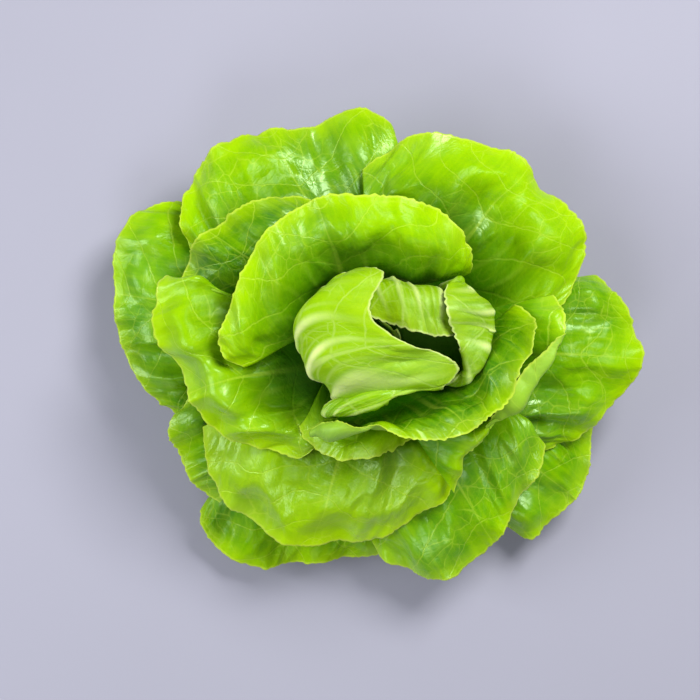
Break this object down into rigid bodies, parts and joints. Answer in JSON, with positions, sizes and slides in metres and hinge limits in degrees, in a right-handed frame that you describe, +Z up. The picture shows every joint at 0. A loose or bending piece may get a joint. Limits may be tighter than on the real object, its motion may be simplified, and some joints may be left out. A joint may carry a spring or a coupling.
{
  "type": "butterhead lettuce",
  "caption": "Open butterhead lettuce head: broad waved leaves round a short stem with a flat cut, folded pale leaves at the heart.",
  "frame": {"origin": "centre of the stem's flat cut, on the surface that the head stands on", "axes": "+Z up along the stem, +X to the right and +Y to the top of the picture, which looks straight down"},
  "size_m": [0.243, 0.2187, 0.111],
  "materials": {
    "green_leaf": "waxy bright green leaf with thin pale veins",
    "heart_leaf": "waxy pale yellow-green leaf with broad pale ribs",
    "stem_flesh": "moist pale green stem, cut flat"
  },
  "bodies": {
    "root": {"stem": "stem_flesh", "heart_upper_leaf": "heart_leaf", "heart_hood_leaf": "heart_leaf", "heart_right_leaf": "heart_leaf", "front_cup_leaf": "green_leaf", "crown_leaf": "green_leaf", "right_fold_leaf": "green_leaf", "front_curl_leaf": "green_leaf", "left_fold_leaf": "green_leaf", "upper_left_leaf": "green_leaf", "front_leaf": "green_leaf", "front_right_leaf": "green_leaf", "upper_right_leaf": "green_leaf", "right_leaf": "green_leaf", "top_leaf": "green_leaf", "lower_left_leaf": "green_leaf", "left_leaf": "green_leaf", "lower_right_leaf": "green_leaf", "lower_front_leaf": "green_leaf", "under_right_leaf": "green_leaf", "under_top_leaf": "green_leaf", "under_left_leaf": "green_leaf", "under_front_leaf": "green_leaf"}
  },
  "joints": []
}
